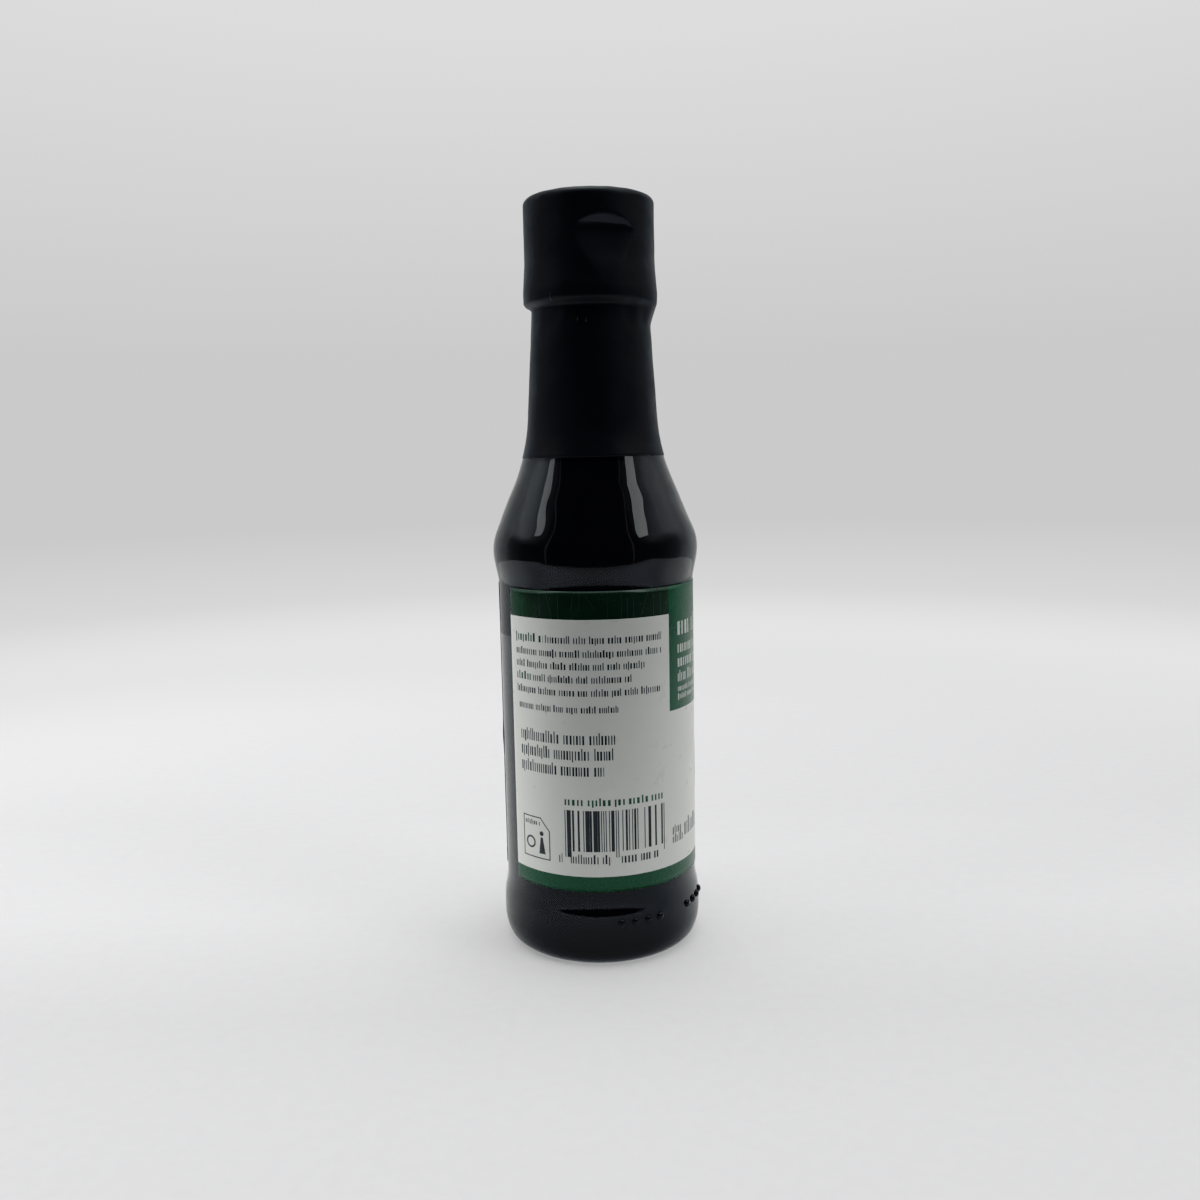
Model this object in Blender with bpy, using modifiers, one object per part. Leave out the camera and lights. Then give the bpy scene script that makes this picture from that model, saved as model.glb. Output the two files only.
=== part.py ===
"""Soy sauce bottle: a shut 150 ml glass bottle with its sauce, its closed cap, the shrink sleeve
over cap and neck, and the label wrapped round its body.

Metres. +Z runs up the bottle's axis from the centre of its foot. The label's back panel faces -Y,
and its front panel faces +X. Angles round the bottle are counted from -Y towards +X.
"""
from math import acos, ceil, cos, pi, radians, sin, tan

import bmesh
import bpy
from mathutils import Matrix, Vector

# Driving dimensions of the whole
HEIGHT = 0.1711               # floor to the top of the sleeve
GAP = 0.0003                  # clearance between pieces that touch
FILM = 0.00025                # thickness of sleeve and label
SEGMENTS = 48                 # steps round a turned piece
SAG = 0.00006                 # how far a chord may stand off its arc

# Outside of the glass, from the foot up
FOOT_R = 0.0190               # outer edge of the ring that the bottle stands on
PUNT_R = 0.0150               # inner edge of that ring
PUNT_EDGE = 0.0012            # width of the slope inside it
PUNT_H = 0.0014               # height of the hollow under the foot
HEEL_R = 0.0234               # the widest band of the heel
HEEL_TOP_Z = 0.0125           # where the band meets the slope up to the panel
PANEL_R = 0.0223              # recessed panel that carries the label
PANEL_Z = (0.0140, 0.0862)    # lower and upper edge of the panel
STEP_FILLET = 0.0016          # roundings between heel and panel
GROOVE_FILLET = 0.0060        # rounding between panel and shoulder
BULGE_R = 0.0242              # shoulder, where its two slopes would meet
BULGE_Z = 0.0941
BULGE_FILLET = 0.0130
NECK_FOOT_R = 0.0151          # where the lines of neck and shoulder would meet
NECK_FOOT_Z = 0.1153
NECK_FILLET = 0.0420
NECK_TOP_R = 0.0130
NECK_TOP_Z = 0.1446
FINISH_R = 0.0119             # mouth of the glass, inside the cap
FINISH_FOOT_Z = 0.1461
FINISH_TOP_Z = 0.1640
FINISH_EDGE = 0.0007          # rounding of its lip

# Inside of the glass
WALL = 0.0018                 # glass in the body
SHOULDER_WALL = 0.0022        # glass in the bulge of the shoulder, measured level
NECK_WALL = 0.0025            # glass in the neck
MOUTH_R = 0.0097
MOUTH_FOOT_Z = 0.1476
FLOOR_Z = 0.0042
FLOOR_FILLET = 0.0040
FILL_Z = 0.1390               # level of the sauce

# Cap
CAP_R = 0.01415
CAP_FLARE_Z = 0.1580          # where its side starts to widen towards the ring at its foot
CAP_FLARE_FILLET = 0.0100
CAP_RING_R = 0.0146
CAP_RING_Z = 0.1508           # upper edge of that ring
CAP_RING_FILLET = 0.0030
CAP_Z = 0.1474                # lower edge
CAP_EDGE = 0.0010             # rounding of the top edge
CAP_FOOT_EDGE = 0.0006        # rounding of the lower edge

# Sleeve
SLEEVE_Z = 0.1140             # lower edge
SLEEVE_UNDERHANG = 0.0022     # drop over which it closes on the neck below the cap
UNDERHANG_FILLET = 0.0016
SLEEVE_LIP_R = 0.0098         # rim of its opening over the cap's top
SPARE = 0.0020                # how far a cutter reaches past what it cuts

# Thumb recess in the side of the cap; the depths are below the side
RECESS_ANGLE = radians(13.7)
RECESS_HALF_WIDTH = 0.0120
RECESS_TOP_Z = 0.1652         # where its brow leaves the side
RECESS_BROW_Z = 0.1630        # inner edge of the brow
RECESS_BROW_DEPTH = 0.0013
RECESS_DEEP_Z = 0.1580
RECESS_DEPTH = 0.0017
RECESS_FOOT_Z = 0.1518        # where it runs out

# Label
LABEL_Z = (0.0179, 0.0854)
LABEL_START = radians(-60.3)  # edge beside the back panel
LABEL_SWEEP = radians(336.3)

# Raised dots of the mould, in two groups on the heel
DOT_Z = 0.0107
DOT_RADIUS = 0.0007
DOT_SINK = 0.0002             # depth of its centre below the heel's surface
DOT_PITCH = radians(7.8)
DOT_STARTS = (radians(10.6), radians(57.4))
DOTS_IN_GROUP = 4


def start_scene():
    """Removes every object and gives the two collections: the bottle's pieces, and the cutters."""
    for obj in list(bpy.data.objects):
        bpy.data.objects.remove(obj, do_unlink=True)
    collections = []
    for name in ("soy_sauce_bottle", "cutters"):
        collection = bpy.data.collections.new(name)
        bpy.context.scene.collection.children.link(collection)
        collections.append(collection)
    return collections


def material(name, colour, roughness, transmission=0.0, ior=1.45):
    made = bpy.data.materials.new(name)
    made.use_nodes = True
    shader = made.node_tree.nodes["Principled BSDF"]
    shader.inputs["Base Color"].default_value = (*colour, 1.0)
    shader.inputs["Roughness"].default_value = roughness
    shader.inputs["Metallic"].default_value = 0.0
    shader.inputs["Transmission Weight"].default_value = transmission
    shader.inputs["IOR"].default_value = ior
    made.diffuse_color = (*colour, 1.0)
    return made


def around(angle, radius, z=0.0):
    """The point at this angle from -Y towards +X."""
    return Vector((radius * sin(angle), -radius * cos(angle), z))


def rounded(corners):
    """The points of an outline given by its corners (r, z, rounding)."""
    points = []
    for index, (r, z, radius) in enumerate(corners):
        corner = Vector((r, z))
        if radius == 0:
            points.append(corner)
            continue
        back = (Vector(corners[index - 1][:2]) - corner).normalized()
        ahead = (Vector(corners[index + 1][:2]) - corner).normalized()
        half = back.angle(ahead) / 2
        sweep = pi - 2 * half
        turn = -1 if back.x * ahead.y > back.y * ahead.x else 1
        centre = corner + (back + ahead).normalized() * radius / sin(half)
        arm = corner + back * radius / tan(half) - centre
        count = max(2, ceil(sweep / (2 * acos(1 - SAG / radius))))
        for number in range(count + 1):
            points.append(centre + Matrix.Rotation(turn * sweep * number / count, 2) @ arm)
    return points


def until(points, z):
    """The points of a falling outline above the height z, ended exactly there."""
    kept = [point for point in points if point.y > z]
    below = points[len(kept)]
    share = (kept[-1].y - z) / (kept[-1].y - below.y)
    return kept + [kept[-1].lerp(below, share)]


def turned(name, points, collection, sweep=2 * pi):
    """A surface turned about Z from an outline that runs down its outer side."""
    mesh = bpy.data.meshes.new(name)
    edges = [(index, index + 1) for index in range(len(points) - 1)]
    mesh.from_pydata([(r, 0, z) for r, z in points], edges, [])
    obj = bpy.data.objects.new(name, mesh)
    collection.objects.link(obj)
    screw = obj.modifiers.new("Turn", "SCREW")
    screw.angle = sweep
    screw.steps = round(SEGMENTS * sweep / (2 * pi))
    screw.render_steps = screw.steps
    screw.use_merge_vertices = sweep == 2 * pi
    screw.merge_threshold = 0.00001
    return obj


def cutter(name, mesh, collection):
    obj = bpy.data.objects.new(name, mesh)
    collection.objects.link(obj)
    obj.hide_render = True
    obj.display_type = "WIRE"
    return obj


def combine(obj, operation, other):
    step = obj.modifiers.new(operation.title(), "BOOLEAN")
    step.operation = operation
    step.object = other
    step.solver = "EXACT"


def glass_side():
    """Corners of the glass's outside from the neck's top down to the foot."""
    return [
        (NECK_TOP_R, NECK_TOP_Z, STEP_FILLET / 2),
        (NECK_FOOT_R, NECK_FOOT_Z, NECK_FILLET),
        (BULGE_R, BULGE_Z, BULGE_FILLET),
        (PANEL_R, PANEL_Z[1], GROOVE_FILLET),
        (PANEL_R, PANEL_Z[0], STEP_FILLET),
        (HEEL_R, HEEL_TOP_Z, STEP_FILLET),
        (HEEL_R, 0, HEEL_R - FOOT_R),
    ]


def cavity_side(clearance):
    """Corners of the hollow from the neck's top down to the floor, drawn in by a clearance."""
    panel_r = PANEL_R - WALL - clearance
    floor_z = FLOOR_Z + clearance
    return [
        (NECK_TOP_R - NECK_WALL - clearance, NECK_TOP_Z, 0),
        (NECK_FOOT_R - NECK_WALL - clearance, NECK_FOOT_Z, NECK_FILLET),
        (BULGE_R - SHOULDER_WALL - clearance, BULGE_Z, BULGE_FILLET - SHOULDER_WALL),
        (panel_r, PANEL_Z[1], GROOVE_FILLET + WALL),
        (panel_r, floor_z, FLOOR_FILLET),
        (0, floor_z, 0),
    ]


def heel_dots(collection):
    """The mould's raised dots as one mesh of small balls sunk into the heel."""
    mesh = bpy.data.meshes.new("heel_dots")
    balls = bmesh.new()
    for start in DOT_STARTS:
        for number in range(DOTS_IN_GROUP):
            place = Matrix.Translation(around(start + number * DOT_PITCH, HEEL_R - DOT_SINK, DOT_Z))
            bmesh.ops.create_uvsphere(balls, u_segments=8, v_segments=5, radius=DOT_RADIUS, matrix=place)
    balls.to_mesh(mesh)
    balls.free()
    return cutter("heel_dots", mesh, collection)


def make_bottle(parts, cutters):
    """The glass: a hollow turned body with a plain mouth, and the dots on its heel."""
    inside = [(MOUTH_R, FINISH_TOP_Z, 0), (MOUTH_R, MOUTH_FOOT_Z, 0)] + cavity_side(0)
    finish = [(FINISH_R, FINISH_TOP_Z, FINISH_EDGE), (FINISH_R, FINISH_FOOT_Z, FINISH_EDGE)]
    foot = [(PUNT_R, 0, 0), (PUNT_R - PUNT_EDGE, PUNT_H, 0), (0, PUNT_H, 0)]
    outline = rounded(inside[::-1] + finish + glass_side() + foot)
    glass = turned("glass_bottle", outline, parts)
    combine(glass, "UNION", heel_dots(cutters))
    glass.data.materials.append(material("clear_glass", (0.90, 0.94, 0.92), 0.02, 1.0, 1.52))


def make_sauce(parts):
    """The sauce fills the hollow up to its level in the neck."""
    corners = cavity_side(GAP)
    top_r, top_z = corners[0][:2]
    foot_r, foot_z = corners[1][:2]
    level_r = top_r + (foot_r - top_r) * (top_z - FILL_Z) / (top_z - foot_z)
    outline = rounded([(0, FILL_Z, 0), (level_r, FILL_Z, 0)] + corners[1:])
    sauce = turned("soy_sauce", outline, parts)
    sauce.data.materials.append(material("soy_sauce", (0.012, 0.004, 0.002), 0.05, 0.0, 1.36))


def cap_side(outward):
    """Corners of the cap's outside from the top down, moved outward for the sleeve."""
    top_z = HEIGHT - FILM - GAP + outward
    return [
        (0, top_z, 0),
        (CAP_R + outward, top_z, CAP_EDGE + outward),
        (CAP_R + outward, CAP_FLARE_Z, CAP_FLARE_FILLET),
        (CAP_RING_R + outward, CAP_RING_Z, CAP_RING_FILLET),
        (CAP_RING_R + outward, CAP_Z, CAP_FOOT_EDGE + outward),
    ]


def recess(name, outward, collection):
    """The wedge that cuts the thumb recess into the cap, moved outward for the sleeve."""
    side_r = CAP_R + outward
    clear_r = side_r + SPARE
    outline = [
        (clear_r, RECESS_TOP_Z + SPARE),
        (side_r - RECESS_BROW_DEPTH, RECESS_BROW_Z),
        (side_r - RECESS_DEPTH, RECESS_DEEP_Z),
        (side_r, RECESS_FOOT_Z),
        (clear_r, RECESS_FOOT_Z),
    ]
    wedge = bmesh.new()
    across = around(RECESS_ANGLE + pi / 2, RECESS_HALF_WIDTH)
    ends = []
    for offset in (-across, across):
        corners = [wedge.verts.new(around(RECESS_ANGLE, r, z) + offset) for r, z in outline]
        ends.append(wedge.faces.new(corners))
    bmesh.ops.bridge_loops(wedge, edges=[edge for end in ends for edge in end.edges])
    bmesh.ops.recalc_face_normals(wedge, faces=wedge.faces)
    mesh = bpy.data.meshes.new(name)
    wedge.to_mesh(mesh)
    wedge.free()
    return cutter(name, mesh, collection)


def make_cap(parts, cutters):
    """The closed cap: a cup turned upside down over the mouth, with its thumb recess."""
    hollow_r = FINISH_R + GAP
    hollow_z = FINISH_TOP_Z + GAP
    outline = rounded(cap_side(0) + [(hollow_r, CAP_Z, 0), (hollow_r, hollow_z, 0), (0, hollow_z, 0)])
    cap = turned("cap", outline, parts)
    combine(cap, "DIFFERENCE", recess("cap_recess", 0, cutters))
    cap.data.materials.append(material("black_plastic", (0.012, 0.012, 0.014), 0.35))


def sleeve_side(outward):
    """Corners of the sleeve from the cap's top down past its lower edge, outward from what it covers."""
    taper = (NECK_FOOT_R - NECK_TOP_R) / (NECK_TOP_Z - NECK_FOOT_Z)
    slope = (BULGE_R - NECK_FOOT_R) / (NECK_FOOT_Z - BULGE_Z)
    close_z = CAP_Z - SLEEVE_UNDERHANG
    close_r = NECK_FOOT_R - taper * (close_z - NECK_FOOT_Z)
    return cap_side(outward) + [
        (close_r + outward, close_z, UNDERHANG_FILLET),
        (NECK_FOOT_R + outward, NECK_FOOT_Z, NECK_FILLET),
        (NECK_FOOT_R + outward + slope * (NECK_FOOT_Z - BULGE_Z), BULGE_Z, 0),
    ]


def make_sleeve(parts, cutters):
    """The shrink film: the outer form less the inner one, open below and over the cap's top."""
    form = until(rounded(sleeve_side(GAP + FILM)), SLEEVE_Z)
    sleeve = turned("shrink_sleeve", form + [Vector((0, SLEEVE_Z))], parts)
    combine(sleeve, "DIFFERENCE", recess("sleeve_recess", GAP + FILM, cutters))

    inner = until(rounded(sleeve_side(GAP)), SLEEVE_Z - SPARE)
    inner[0] = Vector((SLEEVE_LIP_R, inner[0].y))
    hole_z = HEIGHT + SPARE
    outline = [Vector((0, hole_z)), Vector((SLEEVE_LIP_R, hole_z))] + inner
    core = turned("sleeve_core", outline + [Vector((0, SLEEVE_Z - SPARE))], cutters)
    core.hide_render = True
    core.display_type = "WIRE"
    combine(core, "DIFFERENCE", recess("core_recess", GAP, cutters))
    combine(sleeve, "DIFFERENCE", core)
    sleeve.data.materials.append(material("black_film", (0.010, 0.011, 0.013), 0.30))


def make_label(parts):
    """The label: a strip of film round the panel, short of a full turn."""
    label = turned("label", [Vector((PANEL_R + GAP, z)) for z in reversed(LABEL_Z)], parts, LABEL_SWEEP)
    label.rotation_euler.z = LABEL_START - pi / 2
    shell = label.modifiers.new("Film", "SOLIDIFY")
    shell.thickness = FILM
    shell.offset = 1.0
    label.data.materials.append(material("label_film", (0.60, 0.62, 0.59), 0.30))


def main():
    parts, cutters = start_scene()
    make_bottle(parts, cutters)
    make_sauce(parts)
    make_cap(parts, cutters)
    make_sleeve(parts, cutters)
    make_label(parts)


main()
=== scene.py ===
"""Looks of the shut soy sauce bottle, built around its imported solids.

Lengths are written in millimetres times MM, and +Z runs up the bottle's axis. Angles round the
bottle are counted from -Y, the camera's side, towards +X. The label's back panel faces the camera
and its front panel faces +X.
"""
from math import ceil, cos, pi, radians, sin, tan

import bmesh
import bpy
import numpy as np
from mathutils import Matrix, Vector


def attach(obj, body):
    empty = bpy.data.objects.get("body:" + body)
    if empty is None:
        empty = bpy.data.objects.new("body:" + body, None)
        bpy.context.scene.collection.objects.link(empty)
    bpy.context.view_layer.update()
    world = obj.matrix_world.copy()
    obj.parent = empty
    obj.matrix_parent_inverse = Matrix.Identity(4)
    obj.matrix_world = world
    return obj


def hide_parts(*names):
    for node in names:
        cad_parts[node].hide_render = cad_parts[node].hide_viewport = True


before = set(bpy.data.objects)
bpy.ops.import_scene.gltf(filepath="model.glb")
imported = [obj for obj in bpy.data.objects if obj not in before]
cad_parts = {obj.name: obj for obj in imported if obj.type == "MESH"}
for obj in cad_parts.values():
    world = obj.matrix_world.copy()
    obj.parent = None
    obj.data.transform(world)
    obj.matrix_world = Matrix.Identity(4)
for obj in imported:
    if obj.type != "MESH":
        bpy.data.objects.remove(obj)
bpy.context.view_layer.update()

MM = 0.001
FULL = 2 * pi


def srgb(*levels):
    """A colour given as 0-255 levels, made linear."""
    shares = [level / 255 for level in levels]
    return tuple(s / 12.92 if s <= 0.04045 else ((s + 0.055) / 1.055) ** 2.4 for s in shares)


# Camera, as fitted to the photo
LENS = 33.38                      # for a sensor 36 mm wide
CAMERA_PLACE = Vector((0.0, -259.39 * MM, 115.16 * MM))
CAMERA_DOWN = radians(7.620)      # how far it looks below the level
CAMERA_ROLL = radians(1.136)
CAMERA_TURN = radians(0.197)      # towards +X

# Outside of the glass
FOOT_R = 21.7 * MM                # where the slope under the heel would meet the ground
FOOT_FILLET = 3.8 * MM
SLOPE_Z = 4.6 * MM                # where it would meet the heel's side
SLOPE_FILLET = 12.0 * MM
PUNT_R = 15.0 * MM
PUNT_H = 1.4 * MM
HEEL_R = 23.42 * MM
HEEL_TOP_Z = 11.08 * MM
PANEL_R = 22.58 * MM
PANEL_Z = (15.05 * MM, 86.0 * MM)
STEP_FILLET = 18.0 * MM
GROOVE_FILLET = 8.0 * MM
BULGE_R = 24.23 * MM              # where the two slopes of the shoulder would meet
BULGE_Z = 94.14 * MM
BULGE_FILLET = 13.0 * MM
NECK_FOOT_R = 15.21 * MM          # where the lines of neck and shoulder would meet
NECK_FOOT_Z = 115.6 * MM
NECK_FILLET = 42.0 * MM
NECK_TOP_R = 13.30 * MM
NECK_TOP_Z = 144.4 * MM
FINISH_R = 11.9 * MM              # mouth of the glass, inside the cap
FINISH_FOOT_Z = 146.1 * MM
FINISH_TOP_Z = 164.0 * MM
FINISH_EDGE = 0.7 * MM

# Inside of the glass
WALL = 1.9 * MM
HEEL_WALL = 1.5 * MM
SHOULDER_WALL = 2.2 * MM
NECK_WALL = 2.6 * MM
MOUTH_R = 9.7 * MM
MOUTH_FOOT_Z = 147.6 * MM
CAVITY_STEP_FILLET = 9.0 * MM
FLOOR_Z = 1.1 * MM                # of the channel round the foot of the hollow
FLOOR_FILLET = 5.0 * MM
KICK_R = (16.2 * MM, 14.0 * MM)   # foot and top of the raised middle of the floor
KICK_Z = 2.4 * MM
FILL_Z = 139.0 * MM               # level of the sauce
BITE = 0.1 * MM                   # how far the sauce reaches into the wall

# Waves in the glass: height and length of each kind, and where they are
WAVES = ((0.080 * MM, 16 * MM), (0.028 * MM, 7 * MM), (0.007 * MM, 3.2 * MM))
CALM_Z = (88.0 * MM, 113.0 * MM)  # below and above, the glass is nearly true
CALM_EASE = (9.0 * MM, 4.0 * MM)  # how far the waves take to rise and to fade there
CALM_SHARE = 0.03
TRUE_Z = (2.0 * MM, 146.0 * MM)   # outside these the glass is quite true

# Raised dots on the heel
DOT_Z = 10.7 * MM
DOT_R = 0.88 * MM
DOT_H = 0.62 * MM
DOT_PITCH = radians(7.8)
DOT_STARTS = (radians(10.6), radians(57.4))
DOTS_IN_GROUP = 4

# Cap
CAP_INSET = 0.16 * MM             # film and air between the sleeve's outside and the cap
CAP_TOP_Z = 170.90 * MM
CAP_EDGE = 1.3 * MM
CAP_Z = 148.4 * MM
CAP_DISH_R = (8.2 * MM, 8.7 * MM) # foot and edge of the dish in its top
CAP_DISH = 0.45 * MM
GATE_R = 0.9 * MM                 # the mark that its moulding left in the middle

# Sleeve, outside
SLEEVE_Z = 113.95 * MM            # lower edge
SLEEVE_R = 14.70 * MM             # round the cap's side
SLEEVE_TOP_Z = 171.10 * MM
SLEEVE_EDGE = 1.55 * MM           # rounding at the top
SLEEVE_LIP_R = 9.8 * MM
SLEEVE_FILM = 0.12 * MM
FLARE_Z = 157.0 * MM              # where the cap's side starts to widen
RING_R = 15.20 * MM
RING_Z = 150.2 * MM
RING_FOOT_R = 15.12 * MM
RING_FOOT_Z = 148.0 * MM
CLOSE_LEFT = (13.30 * MM, 147.0 * MM)     # the film turns into the corner under the cap here
CLOSE_RIGHT = (13.55 * MM, 143.4 * MM)    # and here it bridges the corner
BRIDGE_MID = (14.72 * MM, 147.0 * MM)
BRIDGE_STARTS = (radians(15), radians(78))
BRIDGE_ENDS = (radians(150), radians(230))
FILM_ON_NECK = 0.14 * MM
FOLD_Z = 145.5 * MM               # folds in the corner under the cap
FOLD_H = 3.0 * MM
FOLD_DEPTH = 0.06 * MM

# Thumb recess of the cap
RECESS_ANGLE = radians(13.7)
RECESS_EDGE = 0.8 * MM            # softness of its outline
RECESS_ARCH = 0.5 * MM            # how far its top line sags at the sides
RECESS_DEPTHS = (                 # height, depth
    (150.5, 0.0), (152.5, 0.08), (154.5, 0.30), (156.5, 0.68), (158.5, 1.12), (160.5, 1.50),
    (161.8, 1.66), (162.8, 1.70), (163.5, 1.58), (164.4, 0.94), (165.3, 0.34), (165.9, 0.0),
)
BROW_HIGHLIGHT = (                          # angle, foot and top of the painted highlight on the film over its upper edge
    (-10, 163.70, 163.72), (-6, 163.62, 164.20), (0, 163.58, 164.85), (8, 163.55, 165.32),
    (14, 163.52, 165.36), (22, 163.45, 165.10), (30, 163.25, 164.60), (36, 163.00, 163.90),
    (41, 162.70, 162.75),
)

# Label
LABEL_R = 22.71 * MM              # its outer side
LABEL_FILM = 0.09 * MM
LABEL_Z = (17.9 * MM, 85.4 * MM)
STRIPE_Z = 21.4 * MM              # top of the green stripe
WHITE_Z = 79.2 * MM               # top of the white panels
BLOCK_Z = 57.2 * MM               # foot of the front panel's green block
LABEL_START = radians(-58.0)
LABEL_END = radians(276.0)
FRONT_START = radians(44.6)
FRONT_END = radians(160.3)
LABEL_LIFT = 0.15 * MM            # how far its end stands off the glass in one place
LIFT_Z = 49.0 * MM
LIFT_H = 2.6 * MM
LIFT_REACH = radians(7.0)
INK = 0.02 * MM                   # thickness of the print
LABEL_FIELDS = (                  # name, colour, roughness, unevenness of tone and of the surface
    ("label_white", srgb(230, 232, 227), 0.32, (0.015, 9 * MM), (0.002 * MM, 0.4 * MM)),
    ("label_green", srgb(8, 79, 46), 0.28, (0.05, 7 * MM), (0.002 * MM, 0.4 * MM)),
    ("label_dark", srgb(22, 56, 33), 0.24, (0.10, 5 * MM), (0.003 * MM, 0.7 * MM)),
    ("label_stripe", srgb(10, 75, 43), 0.28, (0.06, 7 * MM), (0.002 * MM, 0.4 * MM)),
)
WHITE, GREEN, DARK, STRIPE = range(4)

# How the photo's camera deepens dark tones: brightness seen, brightness shown
DARK_TONES = ((0.0, 0.0), (0.006, 0.0018), (0.030, 0.0105), (0.050, 0.030), (0.100, 0.086), (0.200, 0.194))

# Its cool darks: a level of 0-255 seen, and shown in green or blue
GREEN_TONES = ((0, 0), (4, 6), (24, 26), (100, 102), (190, 190))
BLUE_TONES = ((0, 5), (4, 10.5), (24, 30), (50, 54), (100, 103), (190, 190))

# Stage
FLOOR_R = 460 * MM
FLOOR_FRONT_Y = -130 * MM         # the floor before this line gives the bottle no light
MIRRORED_Y = -207 * MM            # and before this one it isn't reflected
FLOOR_GLOW = 0.23                 # share of the floor's tone that glows: painted light that no shadow takes away
FLOOR_LIGHT_AND_SHADE = (                   # y in metres, share of the paper's brightness: painted light and shade, darkest in front of the bottle
    (-0.080, (0.865,)), (-0.042, (0.845,)), (0.010, (0.92,)), (0.088, (0.89,)), (0.230, (0.94,)),
)
MIRRORED_LIGHT_AND_SHADE = (                # the same painted light and shade for the floor as reflections show it
    (-0.207, (0.05,)), (-0.190, (0.62,)), (-0.172, (0.92,)), (-0.140, (1.05,)), (-0.110, (1.00,)),
    (-0.080, (0.90,)), (-0.050, (0.91,)), (0.000, (1.08,)), (0.120, (0.98,)),
)
BACKDROP_LIGHT_AND_SHADE = (                # z in metres, painted brightness of the glowing wall: darkest just over the floor's far edge
    (0.000, (0.78,)), (0.015, (0.68,)), (0.060, (0.593,)), (0.200, (0.597,)), (0.470, (0.72,)),
)
MIRRORED_SHADE = (                # distance from the axis in metres, what the bottle's painted shade leaves
    (0.020, (0.46,)), (0.034, (0.70,)), (0.050, (0.90,)), (0.075, (0.98,)), (0.140, (1.0,)),
)
MIRRORED_GLOW = 0.82
SWEEP_R = 760 * MM
SWEEP_H = 260 * MM
BACK_TOP_Z = 1500 * MM

# Light tent: azimuth from the camera's side in degrees, brightness
WALLS = (                         # high up
    (-180, (0.46,)), (-132, (0.50,)), (-114, (0.76,)), (-95, (0.88,)), (-80, (0.62,)), (-70, (0.28,)),
    (-63, (0.10,)), (-58.2, (0.02,)), (-57.8, (0.50,)), (-56.8, (0.50,)), (-56.4, (0.006,)),
    (42.8, (0.006,)), (43.4, (0.50,)), (44.4, (0.50,)), (44.8, (0.02,)), (52, (0.06,)), (60, (0.16,)),
    (74, (0.62,)), (92, (0.92,)), (114, (0.80,)), (132, (0.50,)), (180, (0.46,)),
)
SKIRTS = (                        # level and below
    (-180, (0.46,)), (-132, (0.50,)), (-118, (0.50,)), (-103, (0.22,)), (-84, (0.06,)),
    (-58.2, (0.02,)), (-57.8, (0.50,)), (-56.8, (0.50,)), (-56.4, (0.006,)), (42.8, (0.006,)),
    (43.4, (0.50,)), (44.4, (0.50,)), (44.8, (0.02,)), (77, (0.06,)), (96, (0.22,)), (111, (0.50,)),
    (132, (0.50,)), (180, (0.46,)),
)
CEILING = (1.18, 1.18, 1.20, 1)
WALLS_FOOT = ((12, (0.0,)), (22, (1.0,)))     # elevation in degrees, share of the walls
WALLS_TOP = ((48, (0.0,)), (58, (1.0,)))      # and of the ceiling
LAMPS_AIM_Z = 90 * MM             # of the point that the lamps face


def ripple(points, length, seed, waves=14):
    """Smooth unevenness of about -1 to 1 at each point, from seeded plane waves of about this length."""
    chance = np.random.default_rng(seed)
    total = np.zeros(points.shape[:-1])
    for _ in range(waves):
        way = chance.normal(size=3)
        way *= FULL / (np.linalg.norm(way) * length * chance.uniform(0.75, 1.35))
        total += np.sin(points @ way + chance.uniform(0, FULL))
    return total / np.sqrt(waves)


def smooth(value, start, end):
    """0 before start, 1 after end, and an easy turn between them."""
    share = np.clip((value - start) / (end - start), 0, 1)
    return share * share * (3 - 2 * share)


def around(angle, radius, z):
    """Points at these angles from -Y towards +X."""
    return np.stack(np.broadcast_arrays(radius * np.sin(angle), -radius * np.cos(angle), z), -1)


def rounded(corners, turn=radians(3)):
    """The points of an outline given by its corners (r, z, rounding)."""
    points = []
    for index, (r, z, radius) in enumerate(corners):
        corner = Vector((r, z))
        if radius == 0:
            points.append(corner)
            continue
        back = (Vector(corners[index - 1][:2]) - corner).normalized()
        ahead = (Vector(corners[index + 1][:2]) - corner).normalized()
        half = back.angle(ahead) / 2
        sweep = pi - 2 * half
        way = -1 if back.x * ahead.y > back.y * ahead.x else 1
        centre = corner + (back + ahead).normalized() * radius / sin(half)
        arm = corner + back * radius / tan(half) - centre
        count = max(2, ceil(sweep / turn))
        for number in range(count + 1):
            points.append(centre + Matrix.Rotation(way * sweep * number / count, 2) @ arm)
    return points


def split(points, step):
    """The outline with no stretch longer than step."""
    fine = [points[0]]
    for start, end in zip(points, points[1:]):
        count = max(1, ceil((end - start).length / step))
        fine += [start.lerp(end, number / count) for number in range(1, count + 1)]
    return fine


def steps(breaks, step):
    """Values through these breaks, at most a step apart."""
    values = [breaks[0]]
    for start, end in zip(breaks, breaks[1:]):
        count = max(1, ceil((end - start) / step - 1e-6))
        values += [start + (end - start) * number / count for number in range(1, count + 1)]
    return np.array(values)


def grid(name, points, closed, materials, zone=None):
    """A mesh over rows and columns of points; rows run down the outside, columns by angle."""
    rows, columns = points.shape[:2]
    number = np.arange(rows * columns).reshape(rows, columns)
    if closed:
        number = np.concatenate([number, number[:, :1]], 1)
    quads = np.stack([number[:-1, :-1], number[1:, :-1], number[1:, 1:], number[:-1, 1:]], -1)
    mesh = bpy.data.meshes.new(name)
    mesh.from_pydata(points.reshape(-1, 3).tolist(), [], quads.reshape(-1, 4).tolist())
    for made in materials:
        mesh.materials.append(made)
    if zone is not None:
        mesh.polygons.foreach_set("material_index", zone.ravel().astype(np.int32))
    shape = bmesh.new()
    shape.from_mesh(mesh)
    poles = [vertex for vertex in shape.verts if vertex.co.xy.length < 1e-7]
    bmesh.ops.remove_doubles(shape, verts=poles, dist=1e-6)
    shape.to_mesh(mesh)
    shape.free()
    mesh.shade_smooth()
    obj = bpy.data.objects.new(name, mesh)
    bpy.context.scene.collection.objects.link(obj)
    return obj


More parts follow.
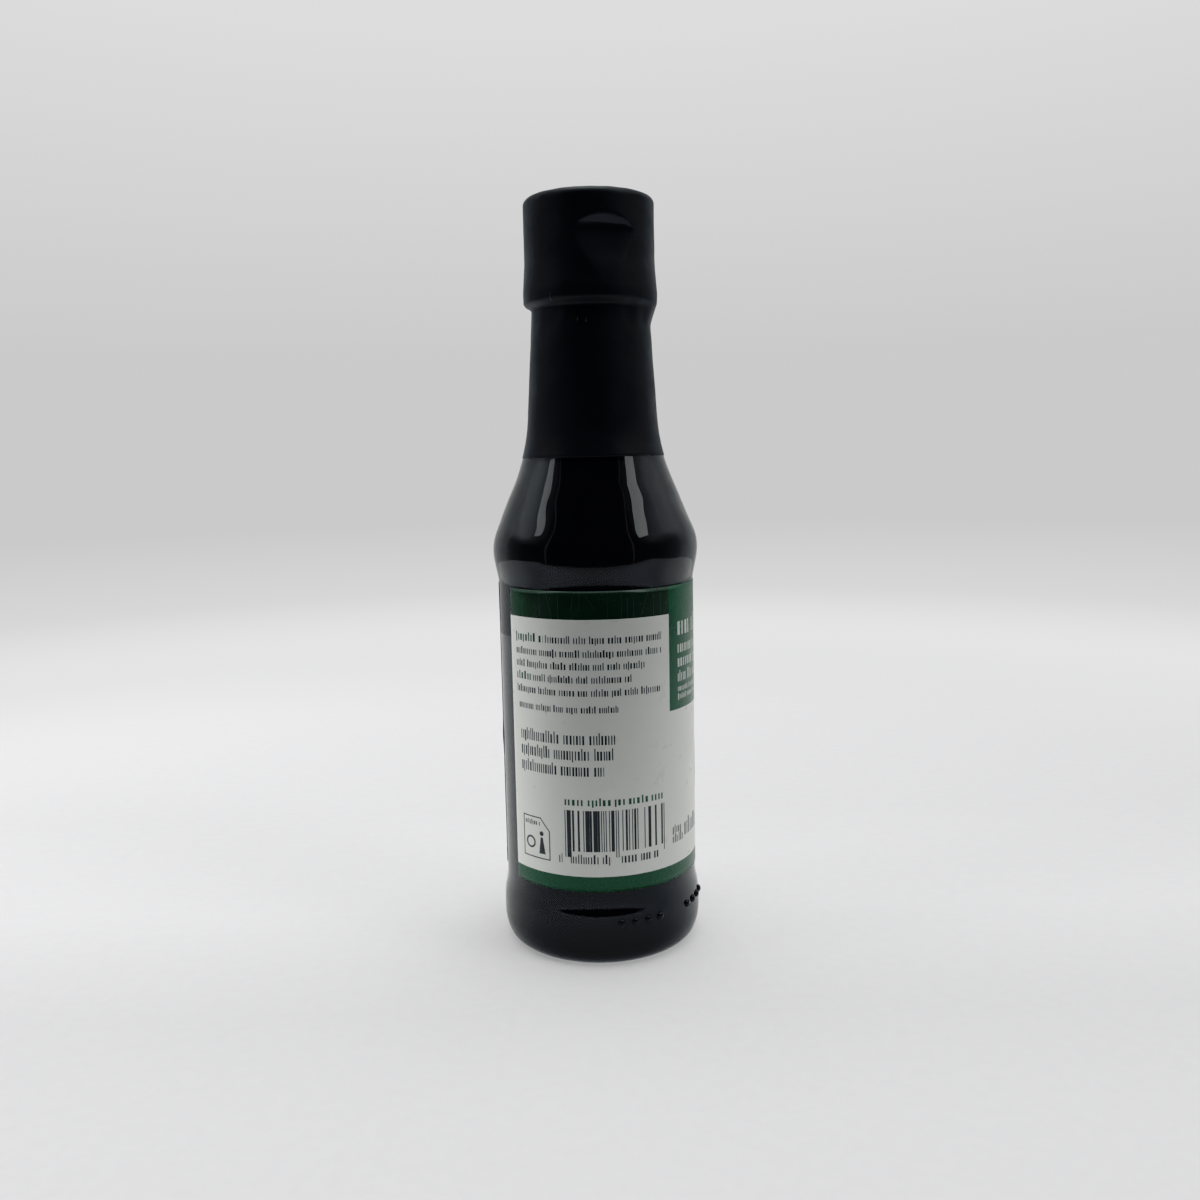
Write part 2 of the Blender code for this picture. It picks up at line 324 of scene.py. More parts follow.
def lathe(name, outline, angle, made, shift=None):
    """A full turn of an outline of (r, z) points at these angles; shift(r, angle, z) adds to each radius."""
    radius, z = np.array(outline).T
    radius, angle = np.meshgrid(radius, angle, indexing="ij")
    z = np.broadcast_to(z[:, None], radius.shape)
    if shift is not None:
        radius = radius + shift(radius, angle, z)
    return grid(name, around(angle, radius, z), True, [made])


def turns(count):
    """Even angles round a full turn."""
    return np.arange(count) * FULL / count


def shell(obj, thickness):
    """Gives a film its thickness, inward."""
    step = obj.modifiers.new("Film", "SOLIDIFY")
    step.thickness = thickness
    step.offset = -1.0


def place(obj, slot, *nodes):
    """The piece rides on the bottle and may stand for CAD nodes, which are hidden. The slot is not used."""
    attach(obj, "root")
    if nodes:
        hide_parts(*nodes)


class Nodes:
    """Short ways to add and join shader nodes in one tree."""

    def __init__(self, tree):
        self.tree = tree

    def add(self, kind, inputs=(), **settings):
        node = self.tree.nodes.new(kind)
        for key, value in settings.items():
            setattr(node, key, value)
        for key, value in dict(inputs).items():
            if isinstance(value, bpy.types.NodeSocket):
                self.tree.links.new(value, node.inputs[key])
            else:
                node.inputs[key].default_value = value
        return node

    def math(self, operation, *values):
        return self.add("ShaderNodeMath", dict(enumerate(values)), operation=operation).outputs[0]

    def ramp(self, factor, stops, low=0.0, high=1.0):
        """A colour ramp; stops are (place, colour), with places from low to high."""
        share = self.add("ShaderNodeMapRange", {0: factor, 1: low, 2: high}).outputs[0]
        node = self.add("ShaderNodeValToRGB", {0: share})
        band = node.color_ramp
        band.elements[1].position = (stops[-1][0] - low) / (high - low)
        band.elements[0].position = (stops[0][0] - low) / (high - low)
        for where, _ in stops[1:-1]:
            band.elements.new((where - low) / (high - low))
        for stop, (_, colour) in zip(band.elements, stops):
            stop.color = (*colour, 1) if len(colour) == 3 else (*colour * 3, 1)
        return node.outputs[0]

    def blend(self, factor, one, other, kind="MIX"):
        """Two colours mixed, or multiplied."""
        inputs = {0: factor, 6: one, 7: other}
        return self.add("ShaderNodeMix", inputs, data_type="RGBA", blend_type=kind).outputs[2]

    def away(self, axes):
        """Distance from the bottle's axis, given separated coordinates."""
        flat = self.add("ShaderNodeCombineXYZ", {0: axes.outputs[0], 1: axes.outputs[1]}).outputs[0]
        return self.add("ShaderNodeVectorMath", {0: flat}, operation="LENGTH").outputs["Value"]

    def noise(self, place, size, detail=3.0, roughness=0.55):
        inputs = {"Vector": place, "Scale": 1 / size, "Detail": detail, "Roughness": roughness}
        return self.add("ShaderNodeTexNoise", inputs).outputs[0]


def surface(name, colour, roughness, tone=(0.08, 6 * MM), mottle=(0.06, 4 * MM),
            grain=(0.004 * MM, 0.6 * MM), **sockets):
    """A Principled material whose colour, roughness and relief vary; each is (amount, size)."""
    made = bpy.data.materials.new(name)
    made.use_nodes = True
    nodes = Nodes(made.node_tree)
    shader = made.node_tree.nodes["Principled BSDF"]
    spot = nodes.add("ShaderNodeTexCoord").outputs["Object"]
    deep = [level * (1 - tone[0]) for level in colour]
    light = [min(1.0, level * (1 + tone[0])) for level in colour]
    shade = nodes.ramp(nodes.noise(spot, tone[1]), ((0.3, deep), (0.7, light)))
    gloss_range = {0: nodes.noise(spot, mottle[1]), 1: 0.3, 2: 0.7, 3: max(0.0, roughness - mottle[0]),
                   4: roughness + mottle[0]}
    gloss = nodes.add("ShaderNodeMapRange", gloss_range).outputs[0]
    relief = nodes.add("ShaderNodeBump", {"Height": nodes.noise(spot, grain[1]), "Distance": grain[0]})
    made.node_tree.links.new(shade, shader.inputs["Base Color"])
    made.node_tree.links.new(gloss, shader.inputs["Roughness"])
    made.node_tree.links.new(relief.outputs[0], shader.inputs["Normal"])
    for key, value in sockets.items():
        shader.inputs[key.replace("_", " ")].default_value = value
    return made


def glass_side():
    """Corners of the glass's outside from the neck's top down to the middle of the foot."""
    return [
        (NECK_TOP_R, NECK_TOP_Z, 0.8 * MM),
        (NECK_FOOT_R, NECK_FOOT_Z, NECK_FILLET),
        (BULGE_R, BULGE_Z, BULGE_FILLET),
        (PANEL_R, PANEL_Z[1], GROOVE_FILLET),
        (PANEL_R, PANEL_Z[0], STEP_FILLET),
        (HEEL_R, HEEL_TOP_Z, STEP_FILLET),
        (HEEL_R, SLOPE_Z, SLOPE_FILLET),
        (FOOT_R, 0, FOOT_FILLET),
        (PUNT_R, 0, 0.5 * MM),
        (PUNT_R - 1.2 * MM, PUNT_H, 1.0 * MM),
        (0, PUNT_H, 0),
    ]


def cavity_side(outward):
    """Corners of the hollow from the neck's top down to the floor, moved outward."""
    panel_r = PANEL_R - WALL + outward
    heel_r = HEEL_R - HEEL_WALL + outward
    floor_z = FLOOR_Z - outward
    return [
        (NECK_TOP_R - NECK_WALL + outward, NECK_TOP_Z, 0),
        (NECK_FOOT_R - NECK_WALL + outward, NECK_FOOT_Z, NECK_FILLET),
        (BULGE_R - SHOULDER_WALL + outward, BULGE_Z, BULGE_FILLET - SHOULDER_WALL),
        (panel_r, PANEL_Z[1], GROOVE_FILLET + WALL),
        (panel_r, PANEL_Z[0], CAVITY_STEP_FILLET),
        (heel_r, HEEL_TOP_Z, CAVITY_STEP_FILLET),
        (heel_r, floor_z, FLOOR_FILLET),
        (KICK_R[0], floor_z, 0.5 * MM),
        (KICK_R[1], KICK_Z - outward, 0.5 * MM),
        (0, KICK_Z - outward, 0),
    ]


def glass_waves(radius, angle, z):
    """Unevenness of the glass's outside: most on the shoulder, hardly any elsewhere."""
    points = around(angle, radius, z)
    share = smooth(z, CALM_Z[0], CALM_Z[0] + CALM_EASE[0]) * smooth(-z, -CALM_Z[1], CALM_EASE[1] - CALM_Z[1])
    share = CALM_SHARE + (1 - CALM_SHARE) * share
    share = share * smooth(z, TRUE_Z[0], TRUE_Z[0] + 6 * MM) * smooth(-z, -TRUE_Z[1] - 4 * MM, -TRUE_Z[1])
    total = sum(height * ripple(points, length, 5 + index) for index, (height, length) in enumerate(WAVES))
    return total * share


def make_glass():
    """The glass, and the raised dots that its mould left on the heel."""
    made = surface("clear_glass", (0.93, 0.97, 0.95), 0.012, tone=(0.01, 20 * MM), mottle=(0.012, 9 * MM),
                   grain=(0.002 * MM, 2.5 * MM), Transmission_Weight=1.0, IOR=1.46)
    inside = [(MOUTH_R, FINISH_TOP_Z, 0), (MOUTH_R, MOUTH_FOOT_Z, 0)] + cavity_side(0)
    finish = [(FINISH_R, FINISH_TOP_Z, FINISH_EDGE), (FINISH_R, FINISH_FOOT_Z, FINISH_EDGE)]
    hollow = rounded(inside[::-1])
    outline = hollow + split(rounded([inside[0]] + finish + glass_side())[1:], 1.2 * MM)

    def shift(radius, angle, z):
        change = glass_waves(radius, angle, z)
        change[:len(hollow)] = 0
        return change

    glass = lathe("glass_bottle_fine", outline, turns(288), made, shift)
    glass.visible_shadow = False
    place(glass, "clear_glass", "glass_bottle")

    dark = surface("glass_over_sauce", (0.0016, 0.0014, 0.0016), 0.06, tone=(0.2, 2 * MM),
                   mottle=(0.02, 1 * MM), grain=(0.001 * MM, 0.4 * MM), IOR=1.46)
    domes = bmesh.new()
    for start in DOT_STARTS:
        for number in range(DOTS_IN_GROUP):
            turn = start + number * DOT_PITCH
            pose = Matrix.Translation(around(turn, HEEL_R - 0.06 * MM, DOT_Z)) @ Matrix.Rotation(turn, 4, "Z")
            form = pose @ Matrix.Diagonal((DOT_R, DOT_H, DOT_R, 1))
            bmesh.ops.create_uvsphere(domes, u_segments=20, v_segments=14, radius=1, matrix=form)
    mesh = bpy.data.meshes.new("heel_dots")
    domes.to_mesh(mesh)
    domes.free()
    mesh.materials.append(dark)
    mesh.shade_smooth()
    obj = bpy.data.objects.new("heel_dots", mesh)
    bpy.context.scene.collection.objects.link(obj)
    place(obj, "clear_glass")


def make_sauce():
    """The sauce, reaching just into the wall, up to its level in the neck with a low rim."""
    made = surface("soy_sauce", (0.0014, 0.0010, 0.0012), 0.04, tone=(0.3, 12 * MM), mottle=(0.02, 8 * MM),
                   grain=(0.001 * MM, 3 * MM), IOR=1.10)
    corners = cavity_side(BITE)
    top_r, top_z = corners[0][:2]
    foot_r, foot_z = corners[1][:2]
    level_r = top_r + (foot_r - top_r) * (top_z - FILL_Z) / (top_z - foot_z)
    rim = 0.8 * MM
    top = [(0, FILL_Z - rim, 0), (level_r - 1.5 * rim, FILL_Z - rim, rim), (level_r, FILL_Z, 0)]
    sauce = lathe("soy_sauce_fine", split(rounded(top + corners[1:]), 4 * MM), turns(128), made)
    place(sauce, "soy_sauce", "soy_sauce")


def sleeve_side(bridged):
    """The sleeve's outer radius against z, on the side where the film bridges the corner or not."""
    close = [(*CLOSE_LEFT, 0.5 * MM)]
    if bridged:
        close = [(*BRIDGE_MID, 1.5 * MM), (*CLOSE_RIGHT, 4.0 * MM)]
    corners = [
        (SLEEVE_R, SLEEVE_TOP_Z, 0),
        (SLEEVE_R, FLARE_Z, 12 * MM),
        (RING_R, RING_Z, 2.5 * MM),
        (RING_FOOT_R, RING_FOOT_Z, 0.7 * MM),
        *close,
        (NECK_FOOT_R + FILM_ON_NECK, NECK_FOOT_Z, NECK_FILLET),
        (BULGE_R + FILM_ON_NECK, BULGE_Z, 0),
    ]
    radius, z = np.array(rounded(corners))[::-1].T
    return z, radius


def sleeve_radius(angle, z):
    """The sleeve's outer radius below its top edge: bridging, recess, folds and waves."""
    sharp = np.interp(z, *sleeve_side(False))
    bridged = np.interp(z, *sleeve_side(True))
    turn = angle % FULL
    points = around(angle, 15 * MM, z)
    share = smooth(turn, *BRIDGE_STARTS) * (1 - smooth(turn, *BRIDGE_ENDS))
    share = np.clip(share + 0.07 * ripple(points * (1, 1, 0.5), 9 * MM, 21), 0, 1)
    radius = sharp + (bridged - sharp) * share
    away = (angle - RECESS_ANGLE + pi) % FULL - pi
    arch = RECESS_ARCH * (away / radians(25)) ** 2 * smooth(z, 159 * MM, 163 * MM)
    depth = np.interp(z + arch, *(np.array(RECESS_DEPTHS).T * MM))
    flat = (radius - depth) / np.maximum(np.cos(away), 0.2)
    gap = radius - flat
    cut = 0.5 * (gap + np.sqrt(gap * gap + (0.5 * RECESS_EDGE) ** 2)) - 0.25 * RECESS_EDGE
    radius = radius - np.where(depth > 0, np.maximum(cut, 0), 0) * smooth(-np.abs(away), -pi / 3, -pi / 4)
    folds = FOLD_DEPTH * np.exp(-((z - FOLD_Z) / FOLD_H) ** 2)
    radius = radius + folds * ripple(points * (1, 1, 0.35), 4 * MM, 22)
    return radius + 0.018 * MM * ripple(points, 7 * MM, 23) + 0.008 * MM * ripple(points, 2.6 * MM, 24)


def make_sleeve():
    """The shrink film over cap and neck, with its lip over the cap's top and a wavy lower edge."""
    made = surface("black_film", (0.0036, 0.0042, 0.0052), 0.44, tone=(0.25, 5 * MM), mottle=(0.06, 7 * MM),
                   grain=(0.005 * MM, 0.5 * MM), IOR=1.45, Specular_IOR_Level=0.38)
    angle = turns(288)
    corner_z = SLEEVE_TOP_Z - SLEEVE_EDGE
    side_z = steps([SLEEVE_Z, 143 * MM, 151 * MM, corner_z], 0.55 * MM)[::-1]
    columns, z = np.meshgrid(angle, side_z)
    side = sleeve_radius(columns, z)
    edge = 0.12 * MM * ripple(around(columns[-1], 15 * MM, 0), 22 * MM, 31)
    z = z + edge * smooth(-z, -SLEEVE_Z - 4 * MM, -SLEEVE_Z)
    rows = [around(columns, side, z)]

    bend = steps([0, pi / 2], radians(6))[:-1][::-1]
    arc_angle, arc_turn = np.meshgrid(angle, bend)
    arc_r = SLEEVE_R - SLEEVE_EDGE * (1 - np.cos(arc_turn))
    arc_z = corner_z + SLEEVE_EDGE * np.sin(arc_turn)
    arc = around(arc_angle, arc_r, arc_z)
    arc = arc + 0.03 * MM * ripple(arc, 3.5 * MM, 32)[..., None]
    arc[-1] = rows[0][0]
    rows.insert(0, arc[:-1])

    inset = steps([0, 1], 0.1)[::-1]
    lip_angle, share = np.meshgrid(angle, inset)
    lip_end = SLEEVE_LIP_R + 0.22 * MM * ripple(around(lip_angle, 15 * MM, 0), 9 * MM, 33)
    lip_start = SLEEVE_R - SLEEVE_EDGE
    lip_r = lip_start + (lip_end - lip_start) * share
    pucker = 0.05 * MM * np.sin(23 * lip_angle) * ripple(around(lip_angle, 15 * MM, 0), 11 * MM, 34)
    lip_z = SLEEVE_TOP_Z - 0.04 * MM + pucker * np.sin(pi * share)
    rows.insert(0, around(lip_angle, lip_r, lip_z))
    sleeve = grid("shrink_sleeve_fine", np.concatenate(rows), True, [made])
    shell(sleeve, SLEEVE_FILM)
    place(sleeve, "black_film", "shrink_sleeve")


def make_cap():
    """The closed cap under the film; its top shows through the sleeve's opening."""
    made = surface("black_plastic", (0.011, 0.011, 0.012), 0.42, tone=(0.15, 3 * MM), mottle=(0.08, 2 * MM),
                   grain=(0.012 * MM, 0.25 * MM), IOR=1.46)
    gate_z = CAP_TOP_Z - CAP_DISH / 3
    dish_z = CAP_TOP_Z - CAP_DISH
    top = [
        (0, gate_z, 0),
        (GATE_R, gate_z, 0.1 * MM),
        (GATE_R + 0.3 * MM, dish_z, 0.1 * MM),
        (CAP_DISH_R[0], dish_z, 0.2 * MM),
        (CAP_DISH_R[1], CAP_TOP_Z, 0.2 * MM),
        (SLEEVE_R - CAP_INSET, CAP_TOP_Z, CAP_EDGE),
    ]
    side = split([Vector((SLEEVE_R - CAP_INSET, z)) for z in (CAP_TOP_Z - CAP_EDGE, CAP_Z)], 0.6 * MM)
    hollow_r = FINISH_R + 0.15 * MM
    hollow_z = FINISH_TOP_Z + 0.15 * MM
    inside = [Vector((hollow_r, CAP_Z)), Vector((hollow_r, hollow_z)), Vector((0, hollow_z))]
    outline = rounded(top + [(SLEEVE_R - CAP_INSET, CAP_Z, 0)])[:-1] + side[1:] + inside
    first = len(outline) - len(inside) - len(side) + 1

    def shift(radius, angle, z):
        change = np.zeros_like(radius)
        rows = slice(first, first + len(side) - 1)
        change[rows] = sleeve_radius(angle[rows], z[rows]) - SLEEVE_R
        return change

    cap = lathe("cap_fine", outline, turns(144), made, shift)
    place(cap, "black_plastic", "cap")


def label_radius(angle, z):
    """The label's outer radius: it follows the glass, with small waves and a lifted end."""
    points = around(angle, LABEL_R, z)
    lift = smooth(angle, LABEL_END - LIFT_REACH, LABEL_END) * np.exp(-((z - LIFT_Z) / LIFT_H) ** 2)
    return LABEL_R + LABEL_LIFT * lift + 0.008 * MM * ripple(points, 13 * MM, 42)


def make_label():
    """The label's film, with white, green and dark fields."""
    fields = [surface(name, colour, roughness, tone=tone, grain=grain, Specular_IOR_Level=0.5)
              for name, colour, roughness, tone, grain in LABEL_FIELDS]
    angle = steps([LABEL_START, FRONT_START, FRONT_END, LABEL_END], radians(1.5))
    z = steps([LABEL_Z[0], STRIPE_Z, BLOCK_Z, WHITE_Z, LABEL_Z[1]], 1.3 * MM)[::-1]
    columns, rows = np.meshgrid(angle, z)
    middle_angle = (columns[:-1, 1:] + columns[:-1, :-1]) / 2
    middle_z = (rows[1:, :-1] + rows[:-1, :-1]) / 2
    front = (middle_angle > FRONT_START) & (middle_angle < FRONT_END)
    zone = np.where(middle_z > WHITE_Z, DARK, WHITE)
    zone = np.where(front & (middle_z > BLOCK_Z), GREEN, zone)
    zone = np.where(middle_z < STRIPE_Z, STRIPE, zone)
    label = grid("label_fine", around(columns, label_radius(columns, rows), rows), False, fields, zone)
    shell(label, LABEL_FILM)
    place(label, "label_film", "label")


class Sheet:
    """Flat print in millimetres: along the label from the angle 0, and up. It is wrapped when done."""

    def __init__(self, name):
        self.name = name
        self.flat = bmesh.new()

    def polygon(self, points):
        self.flat.faces.new([self.flat.verts.new((s, z, 0)) for s, z in points])

    def bar(self, left, right, low, high):
        self.polygon([(left, low), (right, low), (right, high), (left, high)])

    def frame(self, left, right, low, high, line):
        self.bar(left, right, low, low + line)
        self.bar(left, right, high - line, high)
        self.bar(left, left + line, low + line, high - line)
        self.bar(right - line, right, low + line, high - line)

    def oval(self, s, z, wide, high, turn=0.0, count=40):
        """A filled oval, turned by an angle."""
        points = []
        for number in range(count):
            x = wide / 2 * cos(FULL * number / count)
            y = high / 2 * sin(FULL * number / count)
            points.append((s + x * cos(turn) - y * sin(turn), z + x * sin(turn) + y * cos(turn)))
        self.polygon(points)

    def ring(self, s, z, size, line, count=64):
        for number in range(count):
            corners = []
            for share, radius in ((0, size / 2), (1, size / 2), (1, size / 2 - line), (0, size / 2 - line)):
                turn = FULL * (number + share) / count
                corners.append((s + radius * cos(turn), z + radius * sin(turn)))
            self.polygon(corners)

    def strokes(self, left, right, z, size, weight, seed):
        """Generic strokes in word-like groups in place of a line of text."""
        chance = np.random.default_rng(seed)
        at = left
        while at < right:
            end = min(right, at + size * chance.uniform(1.6, 5.2))
            while at < end:
                wide = weight * chance.choice((1.0, 1.0, 1.6))
                low = -0.22 * size if chance.random() < 0.08 else 0.0
                high = size * (1.32 if chance.random() < 0.2 else 1.0)
                self.bar(at, min(at + wide, right), z + low, z + high)
                at += wide + weight * chance.uniform(0.9, 1.6)
            at += 0.42 * size

    def wrap(self, made):
        """Slices the print, bends it round the label and makes it a piece with its own thickness."""
        reach = [vertex.co.x for vertex in self.flat.verts]
        cut = 1.5 * ceil(min(reach) / 1.5)
        while cut < max(reach):
            everything = self.flat.verts[:] + self.flat.edges[:] + self.flat.faces[:]
            bmesh.ops.bisect_plane(self.flat, geom=everything, plane_co=(cut, 0, 0), plane_no=(1, 0, 0))
            cut += 1.5
        for vertex in self.flat.verts:
            angle = vertex.co.x * MM / LABEL_R
            z = vertex.co.y * MM
            vertex.co = around(angle, label_radius(np.array(angle), np.array(z)) + 0.8 * INK, z)
        mesh = bpy.data.meshes.new(self.name)
        self.flat.normal_update()
        self.flat.to_mesh(mesh)
        self.flat.free()
        mesh.materials.append(made)
        obj = bpy.data.objects.new(self.name, mesh)
        bpy.context.scene.collection.objects.link(obj)
        shell(obj, INK)
        place(obj, "label_film")


def along(degrees):
    """Millimetres along the label for an angle."""
    return radians(degrees) * LABEL_R / MM


def text_block(sheet, lines, seed):
    """Lines of strokes, each (left angle, right angle, foot in mm, height in mm, stroke in mm)."""
    for number, (left, right, z, size, weight) in enumerate(lines):
        sheet.strokes(along(left), along(right), z, size, weight, seed + number)


def bar_code(sheet, left, right, low, high, guard_low):
    """A generic bar code: guard bars, and seeded bars that stand for no number."""
    modules = 95
    width = (right - left) / modules
    chance = np.random.default_rng(77)
    dark = chance.random(modules) < 0.48
    guards = {0: 1, 1: 0, 2: 1, 45: 0, 46: 1, 47: 0, 48: 1, 49: 0, 92: 1, 93: 0, 94: 1}
    for place_number, value in guards.items():
        dark[place_number] = value
    number = 0
    while number < modules:
        run = 1
        while number + run < modules and dark[number + run] == dark[number] and run < 4:
            run += 1
        if dark[number]:
            foot = guard_low if number in guards else low
            sheet.bar(left + number * width, left + (number + run - 0.12) * width, foot, high)
        number += run


def make_print():
    """All print on the label, as generic strokes and simple shapes."""
    black = surface("ink_black", srgb(44, 48, 48), 0.32, tone=(0.2, 1.5 * MM), grain=(0.002 * MM, 0.3 * MM))
    green = surface("ink_green", srgb(32, 76, 54), 0.30, tone=(0.12, 2 * MM), grain=(0.002 * MM, 0.3 * MM))
    white = surface("ink_white", srgb(214, 218, 212), 0.30, tone=(0.04, 2 * MM), grain=(0.002 * MM, 0.3 * MM))
    gray = surface("ink_gray", srgb(112, 116, 112), 0.32, tone=(0.1, 2 * MM), grain=(0.002 * MM, 0.3 * MM))

    back = Sheet("print_black")
    lines = [
        (-30, 38.3, 73.9, 1.30, 0.24), (-52.5, 38.2, 70.9, 1.25, 0.24), (-52.5, 27.0, 68.1, 1.25, 0.24),
        (-39, 19.6, 65.2, 1.25, 0.24), (-52.5, 37.0, 62.3, 1.25, 0.24), (-51, 11, 58.6, 1.20, 0.22),
        (-50.2, 9.1, 51.5, 2.05, 0.27), (-50.2, 8.0, 48.0, 2.05, 0.27), (-50.2, 2.4, 44.4, 2.05, 0.27),
    ]
    text_block(back, lines, 100)
    bar_code(back, along(-20.6), along(39.3), 27.2, 36.6, 25.8)
    groups = ((-24.5, -22.5), (-17.5, 5.5), (11.5, 34.5))
    text_block(back, [(first, last, 24.4, 1.6, 0.26) for first, last in groups], 130)
    left, right = along(-50), along(-30.5)
    sign = [(left, 24.4), (right, 24.4), (right, 31.0), (right - 2.4, 33.8), (left, 33.8)]
    for (s0, z0), (s1, z1) in zip(sign, sign[1:] + sign[:1]):
        way = Vector((s1 - s0, z1 - z0)).normalized() * 0.13
        across = Vector((-way.y, way.x))
        points = [Vector((s0, z0)) - way - across, Vector((s1, z1)) + way - across,
                  Vector((s1, z1)) + way + across, Vector((s0, z0)) - way + across]
        back.polygon([tuple(point) for point in points])
    middle = (left + right) / 2
    back.ring(middle - 1.6, 27.8, 2.9, 0.42)
    back.oval(middle + 1.7, 30.2, 1.1, 1.1)
    back.polygon([(middle + 0.9, 25.5), (middle + 2.7, 25.5), (middle + 2.0, 29.3), (middle + 1.4, 29.3)])
    back.strokes(left + 0.6, right - 2.6, 32.0, 0.85, 0.2, 140)
    third = [(175, 260, 74.0, 1.4, 0.3)]
    reaches = (80, 84, 66, 83, 45)
    third += [(175, 175 + reach, 70.4 - 3.0 * row, 1.15, 0.22) for row, reach in enumerate(reaches)]
    text_block(back, third, 150)
    table_left, table_right = along(178), along(258)
    back.frame(table_left, table_right, 27.0, 54.0, 0.18)
    for row in range(1, 9):
        back.bar(table_left + 0.2, table_right - 0.2, 54.0 - 3 * row, 54.1 - 3 * row)
    for row in range(9):
        text_block(back, [(181, 205 + 9 * (row % 3), 51.8 - 3 * row, 1.0, 0.2),
                          (241 + 3 * (row % 2), 255, 51.8 - 3 * row, 1.0, 0.2)], 160 + 2 * row)
    back.wrap(black)

    accents = Sheet("print_green")
    text_block(accents, [(-52.5, -31.5, 73.9, 1.45, 0.34), (-52.5, -40.5, 65.2, 1.4, 0.34),
                         (-20.4, 39.0, 37.7, 1.35, 0.38), (175, 232, 55.4, 1.3, 0.34)], 200)
    centre = along(107)
    accents.ring(centre, 41.0, 20.0, 0.8)
    accents.ring(centre, 41.0, 17.6, 0.25)
    for number in range(3):
        accents.oval(centre - 4.6 + 4.6 * number, 40.4 + 1.4 * (number % 2), 5.2, 3.4, radians(35))
    accents.polygon([(centre - 6.0, 36.8), (centre + 6.0, 36.8), (centre + 4.2, 35.4), (centre - 4.2, 35.4)])
    accents.wrap(green)

    light = Sheet("print_white")
    heads = (
        (153, 74.0, 3.1, 0.62), (120, 70.0, 1.9, 0.42), (112, 66.8, 1.9, 0.42),
        (140, 63.4, 1.9, 0.34), (128, 61.2, 1.0, 0.22), (118, 59.4, 1.0, 0.22),
    )
    text_block(light, [(52.5, *head) for head in heads], 230)
    light.wrap(white)

    small = Sheet("print_gray")
    contents = [(46, 56, 28.6, 1.5, 0.28), (46, 56, 26.4, 1.5, 0.28), (58, 78, 27.0, 3.0, 0.42)]
    text_block(small, contents, 250)
    small.wrap(gray)


def make_crease_highlights():
    """Fine raised lines in the dark band of the back panel: the film's creases, drawn lighter with their
    highlights painted in.
    """
    # painted highlight: this lighter green-grey stands for the light that the creases catch
    made = surface("crease_highlight_paint", srgb(72, 92, 80), 0.22, tone=(0.2, 2 * MM), grain=(0.002 * MM, 0.3 * MM))
    sheet = Sheet("painted_crease_highlights")
    chance = np.random.default_rng(12)
    s = along(-57)
    while s < along(43):
        lean = chance.choice((0.0, 0.0, chance.uniform(-2.4, 2.4)))
        low = 79.3 + chance.choice((0.0, chance.uniform(0, 2)))
        high = 85.2 - chance.choice((0.0, chance.uniform(0, 2)))
        wide = chance.uniform(0.05, 0.12)
        sheet.polygon([(s, low), (s + wide, low), (s + lean + wide, high), (s + lean, high)])
        s += chance.uniform(1.2, 3.6)
    sheet.wrap(made)


def make_film_marks():
    """A scratch low on the cap and two small marks below it, proud of the film."""
    # the scratch and two small specks, drawn in a light grey on the black film
    made = surface("light_film_mark", srgb(96, 99, 104), 0.45, tone=(0.2, 0.5 * MM), grain=(0.004 * MM, 0.1 * MM))
    marks = (  # angle, foot, height, width at the foot and at the top
        (-34.7, 147.5, 1.8, 0.16, 0.05), (-11.9, 142.9, 1.0, 0.04, 0.22), (-4.2, 142.9, 0.8, 0.26, 0.06),
    )
    flat = bmesh.new()
    for degrees, low, height, foot, top in marks:
        pairs = []
        for share in np.linspace(0, 1, 6):
            z = np.array((low + height * share) * MM)
            half = (foot + (top - foot) * share) / 2 * MM / SLEEVE_R
            pair = []
            for angle in (radians(degrees) - half, radians(degrees) + half):
                radius = sleeve_radius(np.array(angle), z) + 0.02 * MM
                pair.append(flat.verts.new(around(angle, radius, z)))
            pairs.append(pair)
        for (left, right), (left_up, right_up) in zip(pairs, pairs[1:]):
            flat.faces.new([left, right, right_up, left_up])
    finish_marks("light_film_marks", flat, made)


def make_brow_highlight():
    """A paler patch on the film over the upper edge of the thumb recess: a painted highlight."""
    # painted highlight: a light grey in place of the light that the upper edge of the recess reflects
    pale = surface("painted_brow_highlight", srgb(46, 49, 54), 0.46, tone=(0.15, 3 * MM), grain=(0.004 * MM, 0.4 * MM))
    flat = bmesh.new()
    degrees, foot, top = np.array(BROW_HIGHLIGHT).T
    angle, share = np.meshgrid(np.linspace(degrees[0], degrees[-1], 35), np.linspace(0, 1, 9))
    low = np.interp(angle, degrees, foot)
    z = (low + (np.interp(angle, degrees, top) - low) * share) * MM
    points = around(np.radians(angle), sleeve_radius(np.radians(angle), z) + 0.03 * MM, z)
    corners = [[flat.verts.new(point) for point in row] for row in points]
    for row, above in zip(corners, corners[1:]):
        for number in range(len(row) - 1):
            flat.faces.new([row[number], row[number + 1], above[number + 1], above[number]])
    finish_marks("brow_highlight_paint", flat, pale)


def finish_marks(name, flat, made):
    """Marks on the film get a thickness and become a piece."""
    mesh = bpy.data.meshes.new(name)
    flat.to_mesh(mesh)
    flat.free()
    mesh.materials.append(made)
    mesh.shade_smooth()
    obj = bpy.data.objects.new(name, mesh)
    bpy.context.scene.collection.objects.link(obj)
    shell(obj, 0.03 * MM)
    place(obj, "black_film")


